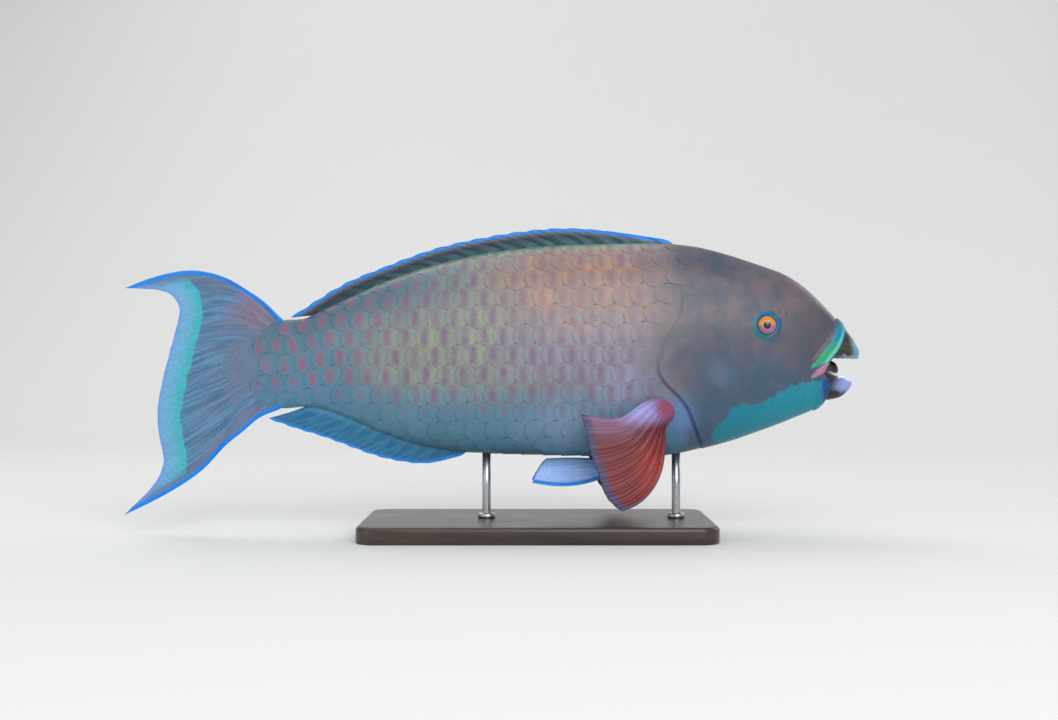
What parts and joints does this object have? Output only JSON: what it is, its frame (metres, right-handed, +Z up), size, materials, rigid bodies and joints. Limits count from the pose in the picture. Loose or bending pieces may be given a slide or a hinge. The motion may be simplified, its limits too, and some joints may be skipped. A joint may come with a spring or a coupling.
{
  "type": "parrotfish",
  "caption": "Life-size still model of an adult male parrotfish, swimming with its paired fins lowered, on a flat base with two short rods.",
  "frame": {"origin": "on the surface that the base rests on, under the middle of the model's length", "axes": "+X towards the fish's head, +Y to the fish's left, +Z up"},
  "size_m": [0.4499, 0.112, 0.1874],
  "materials": {
    "skin_head": "wet satin skin, mauve brown with a turquoise chin and upper lip",
    "skin_body": "wet satin scales, rose bars over olive grey, blue below",
    "skin_tail": "wet satin scales, teal blue with rose spots",
    "beak_upper": "stained tooth plate with a pale blue biting edge",
    "beak_lower": "pale blue polished tooth plate",
    "eye": "clear wet eye, orange iris and black pupil",
    "fin_dorsal": "dark membrane with a bright blue edge",
    "fin_anal": "blue membrane with a bright blue edge",
    "fin_caudal": "grey blue membrane with a turquoise band and blue margins",
    "fin_pectoral": "red membrane with a dark blue outer edge",
    "fin_pelvic": "lilac membrane with a bright blue leading edge",
    "stand_wood": "dark stained, satin",
    "stand_steel": "brushed"
  },
  "bodies": {
    "root": {"head": "skin_head", "torso": "skin_body", "tail": "skin_tail", "beak_upper": "beak_upper", "beak_lower": "beak_lower", "eye_right": "eye", "eye_left": "eye", "dorsal_fin": "fin_dorsal", "anal_fin": "fin_anal", "caudal_fin": "fin_caudal", "pectoral_fin_right": "fin_pectoral", "pectoral_fin_left": "fin_pectoral", "pelvic_fin_right": "fin_pelvic", "pelvic_fin_left": "fin_pelvic", "stand_base": "stand_wood", "stand_rod_front": "stand_steel", "stand_rod_rear": "stand_steel"}
  },
  "joints": []
}
